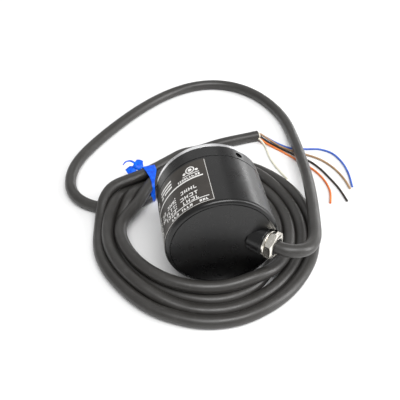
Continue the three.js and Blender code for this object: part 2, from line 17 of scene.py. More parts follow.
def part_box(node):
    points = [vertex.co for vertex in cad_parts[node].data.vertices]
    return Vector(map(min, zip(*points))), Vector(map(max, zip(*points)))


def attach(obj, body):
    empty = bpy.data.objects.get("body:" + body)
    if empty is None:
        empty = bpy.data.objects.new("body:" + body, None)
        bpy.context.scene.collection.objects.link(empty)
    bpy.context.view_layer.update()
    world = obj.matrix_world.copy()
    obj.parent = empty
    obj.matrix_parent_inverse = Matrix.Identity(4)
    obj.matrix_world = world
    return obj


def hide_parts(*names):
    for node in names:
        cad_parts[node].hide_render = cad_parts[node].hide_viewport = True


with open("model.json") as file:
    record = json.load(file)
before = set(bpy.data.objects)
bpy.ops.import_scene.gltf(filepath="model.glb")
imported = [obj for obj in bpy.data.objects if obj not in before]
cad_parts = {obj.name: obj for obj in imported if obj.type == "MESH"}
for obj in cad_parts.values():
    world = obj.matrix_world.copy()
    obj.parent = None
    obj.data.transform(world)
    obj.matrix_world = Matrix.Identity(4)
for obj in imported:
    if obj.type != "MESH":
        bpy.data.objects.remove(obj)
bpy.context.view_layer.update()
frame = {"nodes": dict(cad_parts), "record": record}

MM = 0.001
BODY_RADIUS = 20
COVER_LENGTH = 31
FLANGE_FACE = 33  # the flange's front face, from the rear face
REAR_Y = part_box("rear_cover")[1].y - COVER_LENGTH * MM
AXIS_Z = sum(corner.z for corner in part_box("rear_cover")) / 2 / MM


def place(points):
    """Millimetres from the rear face and the floor, as metres in the frame."""
    return np.array(points, float) * MM + np.array((0, REAR_Y, 0))


# ---------- camera ----------
CAMERA_AT = (-30.5, -144.1, 168.1)
CAMERA_RIGHT = Vector((0.988, -0.1544, 0))
CAMERA_FORWARD = Vector((0.1166, 0.7466, -0.655))


def add_camera():
    data = bpy.data.cameras.new("camera")
    data.lens = 54
    data.sensor_width = 36
    data.clip_start = 0.01
    data.clip_end = 50
    camera = bpy.data.objects.new("camera", data)
    forward = CAMERA_FORWARD.normalized()
    right = CAMERA_RIGHT.normalized()
    up = right.cross(forward)
    camera.matrix_world = Matrix.Translation(place(CAMERA_AT)) @ Matrix(
        (right, up, -forward)
    ).transposed().to_4x4()
    bpy.context.scene.collection.objects.link(camera)
    bpy.context.scene.camera = camera


# ---------- materials ----------
class Finish:
    """One procedural material: its shader, and short ways to add the nodes that vary it."""

    def __init__(self, name, roughness, **constants):
        self.material = bpy.data.materials.new(name)
        self.material.use_nodes = True
        self.tree = self.material.node_tree
        self.shader = self.tree.nodes["Principled BSDF"]
        self.shader.inputs["Roughness"].default_value = roughness
        for socket, value in constants.items():
            self.shader.inputs[socket.replace("_", " ")].default_value = value
        coordinates = self.tree.nodes.new("ShaderNodeTexCoord")
        self.points = coordinates.outputs["Object"]

    def node(self, kind, links=None, **settings):
        made = self.tree.nodes.new(kind)
        for key, value in settings.items():
            setattr(made, key, value)
        for socket, source in (links or {}).items():
            if isinstance(source, bpy.types.NodeSocket):
                self.tree.links.new(source, made.inputs[socket])
            else:
                made.inputs[socket].default_value = source
        return made

    def noise(self, size, detail=2.0, rough=0.5, points=None, distortion=0.0):
        """Cloudy noise whose lumps are about that many millimetres across."""
        links = {
            "Vector": points or self.points,
            "Scale": 1 / (size * MM),
            "Detail": detail,
            "Roughness": rough,
            "Distortion": distortion,
        }
        return self.node("ShaderNodeTexNoise", links).outputs["Fac"]

    def ranged(self, source, low, high, start=0.3, end=0.7):
        links = {"Value": source, 1: start, 2: end, 3: low, 4: high}
        return self.node("ShaderNodeMapRange", links).outputs[0]

    def turned(self, place_of_axis, stretch=1.0, turn=0.0):
        """Coordinates for turning marks round an axis along Y: they hardly change on the way round it."""
        own = self.node(
            "ShaderNodeMapping",
            {"Vector": self.points, "Location": place_of_axis, "Rotation": (0, 0, turn)},
            vector_type="TEXTURE",
        )
        parts = self.node("ShaderNodeSeparateXYZ", {0: own.outputs[0]})
        across = self.node("ShaderNodeCombineXYZ", {0: parts.outputs[0], 2: parts.outputs[2]})
        distance = self.node("ShaderNodeVectorMath", {0: across.outputs[0]}, operation="LENGTH")
        slow_links = {0: across.outputs[0], "Scale": 1 - stretch}
        slow = self.node("ShaderNodeVectorMath", slow_links, operation="SCALE")
        rings = self.node("ShaderNodeCombineXYZ", {0: distance.outputs["Value"], 1: parts.outputs[1]})
        mixed = self.node("ShaderNodeVectorMath", {0: rings.outputs[0], 1: slow.outputs[0]})
        return mixed.outputs[0]

    def colours(self, source, stops):
        """Base colour from a value: stops are (position, (r, g, b))."""
        ramp = self.node("ShaderNodeValToRGB", {0: source})
        elements = ramp.color_ramp.elements
        while len(elements) < len(stops):
            elements.new(0.5)
        for element, (position, colour) in zip(elements, stops):
            element.position = position
            element.color = (*colour, 1)
        return ramp.outputs[0]

    def tint(self, colour, factor, other):
        """One colour with another laid over it by a factor."""
        mix = self.node("ShaderNodeMix", data_type="RGBA")
        self.tree.links.new(factor, mix.inputs[0])
        for socket, source in ((6, colour), (7, other)):
            if isinstance(source, bpy.types.NodeSocket):
                self.tree.links.new(source, mix.inputs[socket])
            else:
                mix.inputs[socket].default_value = (*source, 1)
        return mix.outputs[2]

    def wear(self, source, name):
        self.tree.links.new(source, self.shader.inputs[name])

    def bump(self, source, depth, before=None):
        """Raises the surface by up to depth millimetres where the source is high."""
        links = {"Height": source, "Distance": depth * MM, "Strength": 1.0}
        if before is not None:
            links["Normal"] = before
        return self.node("ShaderNodeBump", links).outputs[0]


def mottled(name, light, dark, roughness, patch, grain, depth, spread=0.08, **constants):
    """A plain moulded or coated surface: two close tones in soft patches, fine grain, uneven gloss."""
    finish = Finish(name, roughness, **constants)
    tone = finish.noise(patch, 3, 0.55)
    finish.wear(finish.colours(tone, [(0.32, dark), (0.68, light)]), "Base Color")
    gloss = finish.noise(patch * 0.4, 4, 0.6)
    finish.wear(finish.ranged(gloss, roughness - spread, roughness + spread), "Roughness")
    fine = finish.bump(finish.noise(grain, 2, 0.5), depth)
    finish.wear(finish.bump(finish.noise(grain * 7, 2, 0.5), depth * 2.5, fine), "Normal")
    return finish.material


def machined(name, light, dark, roughness, axis, pitch, depth, turn=0.0, **constants):
    """Bare metal with fine turning marks round its axis and a few handling smudges."""
    finish = Finish(name, roughness, Metallic=1.0, **constants)
    rings = finish.turned(axis, 0.995, turn)
    marks = finish.noise(pitch, 3, 0.7, rings)
    smudge = finish.noise(5, 3, 0.6)
    finish.wear(finish.colours(marks, [(0.3, dark), (0.62, light)]), "Base Color")
    patches = finish.ranged(smudge, roughness - 0.06, roughness + 0.1)
    streaks = finish.ranged(marks, -0.06, 0.06)
    total = finish.node("ShaderNodeMath", {0: patches, 1: streaks}, operation="ADD")
    finish.wear(total.outputs[0], "Roughness")
    finish.wear(finish.bump(marks, depth), "Normal")
    return finish.material


SHAFT_AXIS = tuple(place((0, 0, AXIS_Z)))
GLAND_X = 14.4
GLAND_ANGLE = -3 * math.pi / 4
GLAND_AT = tuple(place((GLAND_X, 0, AXIS_Z)))


def cover_finish():
    """Satin black paint on the can: faint orange peel, warm and cool patches, uneven gloss."""
    roughness = 0.29
    finish = Finish("cover_black", roughness, IOR=1.5)
    tone = finish.noise(9, 3, 0.5)
    base = finish.colours(tone, [(0.3, (0.0026, 0.0026, 0.0029)), (0.7, (0.0044, 0.0042, 0.0041))])
    finish.wear(base, "Base Color")
    gloss = finish.noise(4, 4, 0.6)
    finish.wear(finish.ranged(gloss, roughness - 0.035, roughness + 0.035), "Roughness")
    peel = finish.bump(finish.noise(0.3, 2, 0.45), 0.0004)
    finish.wear(finish.bump(finish.noise(2.6, 2, 0.5), 0.002, peel), "Normal")
    return finish.material


def cable_finish():
    """Matt grey PVC sheath: extruded, so its tone drifts slowly, with fine grain and rubbed places."""
    roughness = 0.4
    finish = Finish("cable_jacket", roughness, IOR=1.52)
    tone = finish.noise(16, 3, 0.6)
    dark, middle, light = (0.026, 0.0242, 0.0222), (0.033, 0.0312, 0.0290), (0.042, 0.0402, 0.038)
    base = finish.colours(tone, [(0.3, dark), (0.55, middle), (0.75, light)])
    rubbed = finish.ranged(finish.noise(2.2, 5, 0.7, distortion=0.6), 0.0, 0.35, 0.56, 0.74)
    finish.wear(finish.tint(base, rubbed, (0.085, 0.083, 0.08)), "Base Color")
    gloss = finish.noise(5, 4, 0.6)
    finish.wear(finish.ranged(gloss, roughness - 0.07, roughness + 0.07), "Roughness")
    grain = finish.bump(finish.noise(0.22, 3, 0.6), 0.006)
    finish.wear(finish.bump(finish.noise(2.8, 2, 0.5), 0.03, grain), "Normal")
    return finish.material


def film_finish(name, light, dark):
    """The tie's glossy plastic film, with small creases."""
    roughness = 0.36
    finish = Finish(name, roughness, IOR=1.48, Specular_IOR_Level=0.3)
    tone = finish.noise(1.5, 4, 0.6, distortion=0.8)
    finish.wear(finish.colours(tone, [(0.3, dark), (0.7, light)]), "Base Color")
    finish.wear(finish.ranged(tone, roughness - 0.1, roughness + 0.12), "Roughness")
    crease = finish.bump(finish.noise(0.9, 3, 0.7, distortion=1.5), 0.12)
    finish.wear(finish.bump(finish.noise(0.2, 2, 0.5), 0.01, crease), "Normal")
    return finish.material


def wire_finish(name, light, dark):
    """Thin PVC insulation: smooth, with small changes of tone along the wire."""
    return mottled(name, light, dark, 0.38, 4.5, 0.15, 0.003, IOR=1.5)


def glass_finish():
    """Clear glass of the code disc, faintly uneven in tone and gloss."""
    finish = Finish("disc_glass", 0.06, Transmission_Weight=0.85, IOR=1.5)
    tone = finish.noise(2, 2, 0.5)
    finish.wear(finish.colours(tone, [(0.3, (0.70, 0.77, 0.79)), (0.7, (0.82, 0.87, 0.88))]), "Base Color")
    finish.wear(finish.ranged(finish.noise(0.8, 3, 0.6), 0.03, 0.12), "Roughness")
    return finish.material


def board_finish():
    """Solder mask over copper: two greens for tracks and gaps, and scattered small pads."""
    finish = Finish("board_green", 0.36, IOR=1.5)
    cells = finish.node("ShaderNodeTexVoronoi", {"Vector": finish.points, "Scale": 1 / (1.6 * MM)})
    cells.distance = "CHEBYCHEV"
    pad, dark, light = (0.30, 0.22, 0.09), (0.012, 0.085, 0.03), (0.02, 0.13, 0.045)
    tracks = finish.colours(cells.outputs["Distance"], [(0.12, pad), (0.2, dark), (0.6, light)])
    finish.wear(tracks, "Base Color")
    finish.wear(finish.ranged(finish.noise(1.5, 3), 0.28, 0.44), "Roughness")
    finish.wear(finish.bump(cells.outputs["Distance"], 0.02), "Normal")
    return finish.material


def floor_finish():
    """White floor that the object lies on."""
    return mottled("studio_sweep", (0.9, 0.9, 0.9), (0.885, 0.885, 0.885), 0.85, 300, 3, 0.002)


MATERIALS = {
    "cover_black": cover_finish(),
    "flange_aluminium": machined(
        "flange_aluminium", (0.90, 0.90, 0.91), (0.78, 0.78, 0.79), 0.27, SHAFT_AXIS, 0.16, 0.003
    ),
    "steel": machined("steel", (0.66, 0.66, 0.66), (0.52, 0.52, 0.53), 0.2, SHAFT_AXIS, 0.1, 0.002),
    "black_steel": mottled(
        "black_steel", (0.035, 0.035, 0.037), (0.018, 0.018, 0.02), 0.36, 1.2, 0.15, 0.004, Metallic=0.6
    ),
    "nickel": machined(
        "nickel", (0.90, 0.87, 0.80), (0.80, 0.76, 0.68), 0.2, GLAND_AT, 0.2, 0.0012, turn=GLAND_ANGLE
    ),
    "rubber": mottled("rubber", (0.022, 0.022, 0.022), (0.013, 0.013, 0.013), 0.62, 1.5, 0.12, 0.006),
    "label_black": mottled(
        "label_black", (0.036, 0.030, 0.024), (0.026, 0.022, 0.018), 0.4, 5, 0.12, 0.0015, spread=0.04
    ),
    "label_white": mottled("label_white", (0.86, 0.85, 0.83), (0.72, 0.71, 0.69), 0.5, 0.7, 0.1, 0.001),
    "disc_glass": glass_finish(),
    "board_green": board_finish(),
    "plastic_black": mottled(
        "plastic_black", (0.026, 0.027, 0.029), (0.017, 0.018, 0.019), 0.45, 3, 0.2, 0.006
    ),
    "plastic_white": mottled("plastic_white", (0.76, 0.72, 0.62), (0.66, 0.61, 0.50), 0.42, 2, 0.2, 0.004),
    "brass": machined("brass", (0.78, 0.57, 0.27), (0.62, 0.43, 0.18), 0.26, SHAFT_AXIS, 0.2, 0.004),
    "cable_jacket": cable_finish(),
    "tie_blue": film_finish("tie_blue", (0.0005, 0.165, 0.95), (0.0002, 0.045, 0.60)),
    "wire_blue": wire_finish("wire_blue", (0.06, 0.16, 0.60), (0.035, 0.10, 0.46)),
    "wire_brown": wire_finish("wire_brown", (0.46, 0.29, 0.16), (0.32, 0.19, 0.10)),
    "wire_black": wire_finish("wire_black", (0.028, 0.022, 0.018), (0.012, 0.010, 0.009)),
    "wire_orange": wire_finish("wire_orange", (0.84, 0.25, 0.06), (0.72, 0.15, 0.03)),
    "wire_white": wire_finish("wire_white", (0.80, 0.78, 0.66), (0.70, 0.68, 0.55)),
}


# ---------- cords ----------
CABLE_DIAMETER = 4.8
LYING = 2.45  # height of the cable's centre line where it lies on the floor
WIRE_DIAMETER = 0.92
ON_FLOOR = 0.52  # height of a wire's centre line on the floor
STEP = 2.0  # length of the links that the settling works on

# From inside the can, out of the gland, over the coil, once round behind the encoder and back to the coil.
INSIDE = [(11.6, 2.8, 20), (13.7, 0.7, 20), (16.2, -1.8, 20)]
LEAD = [
    (18.58, -4.18, 20), (21, -5.9, 20), (24.7, -6.7, 19.9), (28.7, -5.7, 19.7), (31.7, -3, 19.2),
    (33.2, 0.4, 18.5), (35, 5.6, 17.4), (37.2, 12.4, 16), (39.3, 20, 14.5), (41.4, 28.2, 12.9),
    (43.5, 37.4, 11), (45.6, 48, 9), (47.4, 60, 7), (49, 73, 5), (50.2, 87, 3.5), (50, 98.5, 2.6),
    (47.4, 110, 2.5), (41.6, 123.2, 2.5), (32, 133.4, 2.5), (19.6, 138.2, 2.5), (6.4, 136.6, 2.5),
    (-8.4, 129, 2.5), (-22.4, 117.2, 2.5), (-34.6, 104, 2.5), (-45.4, 90.2, 2.5), (-52.8, 77.4, 2.5),
    (-54.8, 67, 2.5), (-54, 57.6, 2.5), (-49, 50.2, 2.5), (-46.2, 48.2, 2.5),
]
UNDER_COIL = [(-41.5, 46.2, 2.5), (-35.4, 45, 2.5), (-28.5, 46.3, 2.5)]
TAIL = [
    (-15.4, 65.2, 7.3), (-9.5, 68.2, 7.2), (-3.5, 72.6, 6), (1.5, 77, 3.8), (6, 80.3, 2.5), (13, 83, 2.5),
    (24, 85.4, 2.5), (33.6, 87.2, 2.5),
]

# The coil is four turns of an ellipse. Each turn runs clockwise from COIL_START and drifts between lanes,
# given at the stations as (inset from the coil's outside, height of the centre line).
COIL_CENTRE = (-1.0, 27.5)
COIL_RADII = (45.8, 49.5)
COIL_START = 130
COIL_STEP = 10
STATIONS = [0, 40, 85, 130, 152, 175, 197, 220, 245, 268, 290, 310, 338, 360]
TURNS = [
    [(17.2, 3), (16.6, 2.45), (16.6, 2.45), (17.6, 2.45), (17.4, 2.45), (16.2, 2.45), (14, 2.45),
     (12.2, 2.45), (11.6, 2.45), (11.2, 2.45), (10.6, 2.45), (10, 2.6), (12.4, 7.2), (12.4, 3)],
    [(12.4, 3), (11.7, 2.45), (12.2, 2.45), (13, 2.9), (13.2, 3.8), (13.8, 5.4), (14.4, 6.6),
     (14.6, 6.7), (14, 6.6), (13, 6.6), (12, 7), (11.6, 7.4), (16.6, 7.4), (14.8, 7.2)],
    [(14.8, 7.2), (11.4, 7.3), (8.4, 4.4), (8.2, 2.45), (8.8, 2.45), (9.3, 2.45), (8.8, 2.45),
     (7.5, 2.45), (8.2, 2.8), (7.8, 4.2), (7, 4.8), (6.5, 5.2), (7.6, 7.2), (7.6, 3)],
    [(7.6, 3), (6, 2.45), (3.6, 2.45), (3.6, 2.45), (4, 2.45), (4.5, 2.45), (4.2, 2.45), (3, 2.45),
     (3.7, 2.45), (4.2, 2.45), (3.5, 2.45), (3.2, 2.8), (5.2, 7.3), (8.4, 7.4)],
]

# The conductors start a little inside the jacket and end bare. Points without a height lie on the floor.
WIRES = {
    "blue": [
        (33.2, 87.9, 2.9), (34.4, 88.6, 2.6), (38, 86.2, 1.4), (43.2, 80.9), (47.5, 77.3), (54, 75.6),
        (60.9, 74.3), (65.3, 70.8), (67.7, 64.4), (68.2, 56), (66.6, 45.4),
    ],
    "brown": [
        (33.2, 87.3, 3.3), (34.4, 87.4, 3.4), (38.2, 84.7, 1.8), (43.2, 79.3), (48.2, 74.6), (53.7, 71),
        (58.9, 66.4), (62.8, 59.4), (64.8, 51.6), (65.2, 44.3),
    ],
    "black": [
        (33.2, 87, 2.4), (34.4, 86.9, 2.4), (38, 83.2, 0.9), (43.1, 77.5), (48, 71.8), (53.2, 66.3),
        (56.4, 60.2), (58.6, 53), (60.4, 45.4), (61.2, 36.6),
    ],
    "orange": [
        (33.2, 86.3, 1.7), (34.4, 85.8, 1.5), (37.2, 82.2, 0.9), (42.2, 76.2), (47, 69.4), (51.2, 63.4),
        (54.4, 57.2), (56, 50.6), (55.9, 43.6), (53.7, 36.4),
    ],
    "white": [
        (33.2, 85.6, 2.6), (34.4, 84.4, 1.9), (35.9, 81.4, 0.62), (36, 77.4), (36, 71.8), (36.8, 66),
        (38.2, 60.4), (39.8, 55.1),
    ],
}


def on_ring(angle, inset):
    """A point on the coil's ellipse, drawn in by an inset."""
    turn = math.radians(angle)
    x = COIL_CENTRE[0] + (COIL_RADII[0] - inset) * math.cos(turn)
    y = COIL_CENTRE[1] + (COIL_RADII[1] - inset) * math.sin(turn)
    return x, y


def eased(stations, values, at):
    """Values at stations, joined by soft steps."""
    k = int(np.clip(np.searchsorted(stations, at, side="right") - 1, 0, len(stations) - 2))
    share = (at - stations[k]) / (stations[k + 1] - stations[k])
    soft = share * share * (3 - 2 * share)
    return values[k] + (values[k + 1] - values[k]) * soft


def coil_points():
    points = []
    for number, lanes in enumerate(TURNS):
        insets = [lane[0] for lane in lanes]
        heights = [lane[1] for lane in lanes]
        for run in range(0 if number == 0 else COIL_STEP, 360 + 1, COIL_STEP):
            x, y = on_ring(COIL_START - run, eased(STATIONS, insets, run))
            points.append((x, y, eased(STATIONS, heights, run)))
    return points


def smooth_line(points, per_span):
    """A centripetal Catmull-Rom curve through the points."""
    p = np.array(points, float)
    p = np.vstack([2 * p[0] - p[1], p, 2 * p[-1] - p[-2]])
    line = []
    for k in range(1, len(p) - 2):
        a, b, c, d = p[k - 1 : k + 3]
        t1 = np.linalg.norm(b - a) ** 0.5
        t2 = t1 + np.linalg.norm(c - b) ** 0.5
        t3 = t2 + np.linalg.norm(d - c) ** 0.5
        for share in np.arange(per_span) / per_span:
            t = t1 + (t2 - t1) * share
            ab = (t1 - t) / t1 * a + t / t1 * b
            bc = (t2 - t) / (t2 - t1) * b + (t - t1) / (t2 - t1) * c
            cd = (t3 - t) / (t3 - t2) * c + (t - t2) / (t3 - t2) * d
            abc = (t2 - t) / t2 * ab + t / t2 * bc
            bcd = (t3 - t) / (t3 - t1) * bc + (t - t1) / (t3 - t1) * cd
            line.append((t2 - t) / (t2 - t1) * abc + (t - t1) / (t2 - t1) * bcd)
    line.append(p[-2])
    return np.array(line)


def evenly(line, step):
    """The same line with its points a fixed step apart."""
    run = np.r_[0, np.cumsum(np.linalg.norm(np.diff(line, axis=0), axis=1))]
    stops = np.linspace(0, run[-1], int(round(run[-1] / step)) + 1)
    return np.stack([np.interp(stops, run, line[:, k]) for k in range(3)], 1)


def settle(plan, rounds=200, gravity=0.004, stiffness=0.06, hold=0.01):
    """Lets the cable sink and straighten, held off by its own turns, the can and the floor.
    The can lies on the floor, so its radius is the height of its axis."""
    line = plan.copy()
    count = len(line)
    gap = int(2.2 * CABLE_DIAMETER / STEP) + 1
    link = np.linalg.norm(np.diff(line, axis=0), axis=1).mean()
    free = np.ones(count)
    free[:3] = 0  # both ends stay in place
    free[-2:] = 0
    ones, others = np.triu_indices(count, gap)
    keep_off = AXIS_Z + CABLE_DIAMETER / 2
    for step in range(rounds):
        if step % 8 == 0:
            near = np.linalg.norm(line[ones] - line[others], axis=1) < CABLE_DIAMETER + 2
            i, j = ones[near], others[near]
        line[:, 2] -= gravity * free
        line[:, :2] += hold * (plan - line)[:, :2] * free[:, None]
        for _ in range(4):
            bend = np.zeros_like(line)
            bend[2:-2] = line[:-4] - 4 * line[1:-3] + 6 * line[2:-2] - 4 * line[3:-1] + line[4:]
            line -= stiffness * bend * free[:, None]
        for _ in range(3):
            apart = line[j] - line[i]
            distance = np.linalg.norm(apart, axis=1)
            short = np.maximum(0, CABLE_DIAMETER - distance)
            push = (0.5 * short / np.maximum(distance, 1e-6))[:, None] * apart
            move = np.zeros_like(line)
            np.add.at(move, i, -push)
            np.add.at(move, j, push)
            touches = np.zeros(count)
            np.add.at(touches, i[short > 0], 1)
            np.add.at(touches, j[short > 0], 1)
            line += 1.2 * move / np.maximum(touches, 1)[:, None] * free[:, None]
            off_axis = np.hypot(line[:, 0], line[:, 2] - AXIS_Z)
            beside = (line[:, 1] > -CABLE_DIAMETER / 2) & (line[:, 1] < FLANGE_FACE + CABLE_DIAMETER / 2)
            inside = beside & (off_axis < keep_off)
            inside[:8] = False  # the lead comes out of the can
            grow = np.where(inside, keep_off / np.maximum(off_axis, 1e-6), 1.0)
            line[:, 0] *= grow
            line[:, 2] = AXIS_Z + (line[:, 2] - AXIS_Z) * grow
            line[:, 2] = np.maximum(line[:, 2], LYING)
        run = np.diff(line, axis=0)
        size = np.linalg.norm(run, axis=1)[:, None]
        correct = 0.25 * (size - link) * run / size
        line[:-1] += correct * free[:-1, None]
        line[1:] -= correct * free[1:, None]
    return line


def add_cord(name, line, diameter, material, sides=7):
    """A round cord along a line, as one open curve."""
    curve = bpy.data.curves.new(name, "CURVE")
    curve.dimensions = "3D"
    curve.bevel_depth = diameter / 2 * MM
    curve.bevel_resolution = sides
    curve.use_fill_caps = True
    points = place(line)
    spline = curve.splines.new("POLY")
    spline.points.add(len(points) - 1)
    spline.points.foreach_set("co", np.c_[points, np.ones(len(points))].ravel())
    spline.use_smooth = True
    curve.materials.append(MATERIALS[material])
    cord = bpy.data.objects.new(name, curve)
    bpy.context.scene.collection.objects.link(cord)
    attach(cord, "housing")
    return cord


# ---------- mesh helpers ----------
def add_mesh(name, vertices, faces, material, body="housing", replaces=(), slot=None, crease=30):
    """A mesh piece from millimetres. It rides on its body and stands for the CAD nodes that it replaces.
    The slot argument is not used."""
    mesh = bpy.data.meshes.new(name)
    mesh.from_pydata([tuple(p) for p in place(vertices)], [], faces)
    piece = bpy.data.objects.new(name, mesh)
    bpy.context.scene.collection.objects.link(piece)
    tidy(mesh, crease)
    mesh.materials.append(MATERIALS[material])
    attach(piece, body)
    if replaces:
        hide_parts(*replaces)
    return piece


def tidy(mesh, crease):
    """Joins doubled points, turns the faces outwards and shades smooth up to a crease angle in degrees."""
    work = bmesh.new()
    work.from_mesh(mesh)
    bmesh.ops.remove_doubles(work, verts=work.verts, dist=1e-7)
    bmesh.ops.recalc_face_normals(work, faces=work.faces)
    work.to_mesh(mesh)
    work.free()
    mesh.shade_smooth()
    mesh.set_sharp_from_angle(angle=math.radians(crease))


def even_normals(piece):
    """Lets large faces rule the shading, so flats next to rounded edges stay flat."""
    modifier = piece.modifiers.new("even normals", "WEIGHTED_NORMAL")
    modifier.keep_sharp = True
    modifier.weight = 50


def rounded(outline, closed=False, steps=4):
    """An outline of (radius, y) or (radius, y, fillet) with each fillet drawn as an arc."""
    points = [np.array(p[:2], float) for p in outline]
    fillets = [p[2] if len(p) > 2 else 0 for p in outline]
    made = []
    count = len(points)
    for k in range(count):
        fillet = fillets[k]
        here = points[k]
        if not fillet or (not closed and k in (0, count - 1)):
            made.append(tuple(here))
            continue
        before = points[k - 1] - here
        after = points[(k + 1) % count] - here
        before /= np.linalg.norm(before)
        after /= np.linalg.norm(after)
        half = math.acos(float(np.clip(before @ after, -1, 1))) / 2
        reach = fillet / math.tan(half)
        bisector = (before + after) / np.linalg.norm(before + after)
        centre = here + bisector * fillet / math.sin(half)
        start = here + before * reach - centre
        end = here + after * reach - centre
        sweep = math.pi - 2 * half
        for share in np.linspace(0, 1, steps + 1):
            weight = np.array((math.sin((1 - share) * sweep), math.sin(share * sweep))) / math.sin(sweep)
            made.append(tuple(centre + weight[0] * start + weight[1] * end))
    return made


def lathe(outline, segments=160, closed=False, frame_matrix=None):
    """Vertices and faces of (radius, y) pairs turned round the shaft axis, or round another axis by a matrix.
    An open outline starts and ends on the axis; a closed one makes a ring."""
    vertices, rows = [], []
    for radius, y in outline:
        row = []
        turns = 1 if radius < 1e-9 else segments
        for k in range(turns):
            angle = 2 * math.pi * k / segments
            row.append(len(vertices))
            vertices.append((radius * math.cos(angle), y, radius * math.sin(angle)))
        rows.append(row * segments if turns == 1 else row)
    faces = []
    pairs = list(zip(rows, rows[1:] + rows[:1])) if closed else list(zip(rows, rows[1:]))
    for one, other in pairs:
        for k in range(segments):
            after = (k + 1) % segments
            corners = [one[k], one[after], other[after], other[k]]
            face = [c for n, c in enumerate(corners) if c not in corners[:n]]
            if len(face) > 2:
                faces.append(face)
    matrix = frame_matrix or ENCODER_AXIS
    vertices = [tuple(matrix @ Vector(v)) for v in vertices]
    return vertices, faces


ENCODER_AXIS = Matrix.Translation((0, 0, AXIS_Z))
OUTLET_AXIS = Matrix.Translation((GLAND_X, 0, AXIS_Z)) @ Matrix.Rotation(GLAND_ANGLE, 4, "Z")


def radial_axis(degrees, y):
    """An axis that points out from the shaft axis at an angle from +X towards +Z."""
    out = Matrix.Rotation(-math.radians(degrees), 4, "Y") @ Matrix.Rotation(-math.pi / 2, 4, "Z")
    return Matrix.Translation((0, y, AXIS_Z)) @ out


def rod(radius, start, end, segments=64, matrix=None):
    return lathe([(0, start), (radius, start), (radius, end), (0, end)], segments, False, matrix)


def block(low, high, matrix=None):
    corners = [(x, y, z) for x in (low[0], high[0]) for y in (low[1], high[1]) for z in (low[2], high[2])]
    faces = [(0, 1, 3, 2), (4, 6, 7, 5), (0, 4, 5, 1), (2, 3, 7, 6), (0, 2, 6, 4), (1, 5, 7, 3)]
    matrix = matrix or ENCODER_AXIS
    return [tuple(matrix @ Vector(c)) for c in corners], faces


def gather(shapes):
    """Several shapes as one list of vertices and faces."""
    vertices, faces = [], []
    for more, more_faces in shapes:
        start = len(vertices)
        vertices += more
        faces += [tuple(start + c for c in face) for face in more_faces]
    return vertices, faces


def combine(piece, shapes, operation, crease=30):
    """Joins shapes to a piece, or cuts them out of it, for good."""
    tools = []
    for vertices, faces in shapes:
        mesh = bpy.data.meshes.new("tool")
        mesh.from_pydata([tuple(p) for p in place(vertices)], [], faces)
        tool = bpy.data.objects.new("tool", mesh)
        bpy.context.scene.collection.objects.link(tool)
        tidy(mesh, crease)
        modifier = piece.modifiers.new("combine", "BOOLEAN")
        modifier.operation = operation
        modifier.solver = "EXACT"
        modifier.object = tool
        tools.append(tool)
    graph = bpy.context.evaluated_depsgraph_get()
    result = bpy.data.meshes.new_from_object(piece.evaluated_get(graph))
    piece.modifiers.clear()
    piece.data = result
    tidy(result, crease)
    for tool in tools:
        bpy.data.objects.remove(tool)
    return piece


# ---------- the cable and its wires ----------
def add_cable():
    route = smooth_line(LEAD + UNDER_COIL + coil_points() + TAIL, 6)
    line = settle(evenly(route, STEP))
    inner = smooth_line(INSIDE + [LEAD[0]], 4)[:-1]
    shown = np.vstack([inner, smooth_line(line, 2)])
    cable = add_cord("cable", shown, CABLE_DIAMETER, "cable_jacket")
    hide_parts("cable_entry", "cable_lead", "cable_coil", "cable_tail")
    return cable, line, shown


def add_wires():
    for colour, route in WIRES.items():
        line = smooth_line([(*point, ON_FLOOR)[:3] for point in route], 8)
        line[:, 2] = np.maximum(line[:, 2], ON_FLOOR)
        wire = add_cord(f"conductor_{colour}", line, WIRE_DIAMETER, f"wire_{colour}", 4)
        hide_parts(f"wire_{colour}")


def add_jacket_filler(line):
    """The pale inner filler that stands out of the cut jacket."""
    end = Vector(line[-1])
    along = (Vector(line[-1]) - Vector(line[-3])).normalized()
    matrix = Matrix.Translation(end) @ Vector((0, 1, 0)).rotation_difference(along).to_matrix().to_4x4()
    outline = rounded([(0, -1.5), (1.9, -1.5), (1.9, 0.35, 0.25), (1.25, 1.1, 0.3), (0, 1.3)])
    vertices, faces = lathe(outline, 40, False, matrix)
    return add_mesh("jacket_filler", vertices, faces, "plastic_white", slot="wire_white")


add_camera()
CABLE, CABLE_LINE, CABLE_SHOWN = add_cable()
add_wires()
FILLER = add_jacket_filler(CABLE_LINE)


# ---------- tie ----------
TIE_MIDDLE = Vector((-20.9, 54.6, 0))
TIE_ACROSS = Vector((-0.14, 0.99, 0)).normalized()  # across the bundle, away from the encoder
TIE_ALONG = Vector((TIE_ACROSS.y, -TIE_ACROSS.x, 0))
TIE_REACH = 14  # half the width of the bundle, with some to spare
TIE_LIFT = 0.12  # gap between the film and the sheath
TIE_FILM = 0.14  # thickness
TIE_CREASE = 0.09  # depth of the folds
TIE_SECTIONS = 140  # round the loop
TIE_ROWS = 15  # across the strap
# The strap's width round its loop, and how far its middle leans along the bundle, by place across.
TIE_PLACES = (-6, -3.5, 0, 4, 8, 11)
TIE_WIDTHS = (1.9, 1.2, 2.7, 4.5, 5.6, 3.8)
TIE_LEANS = (-0.3, 0.6, 1.2, 1.6, 1.2, 0.6)


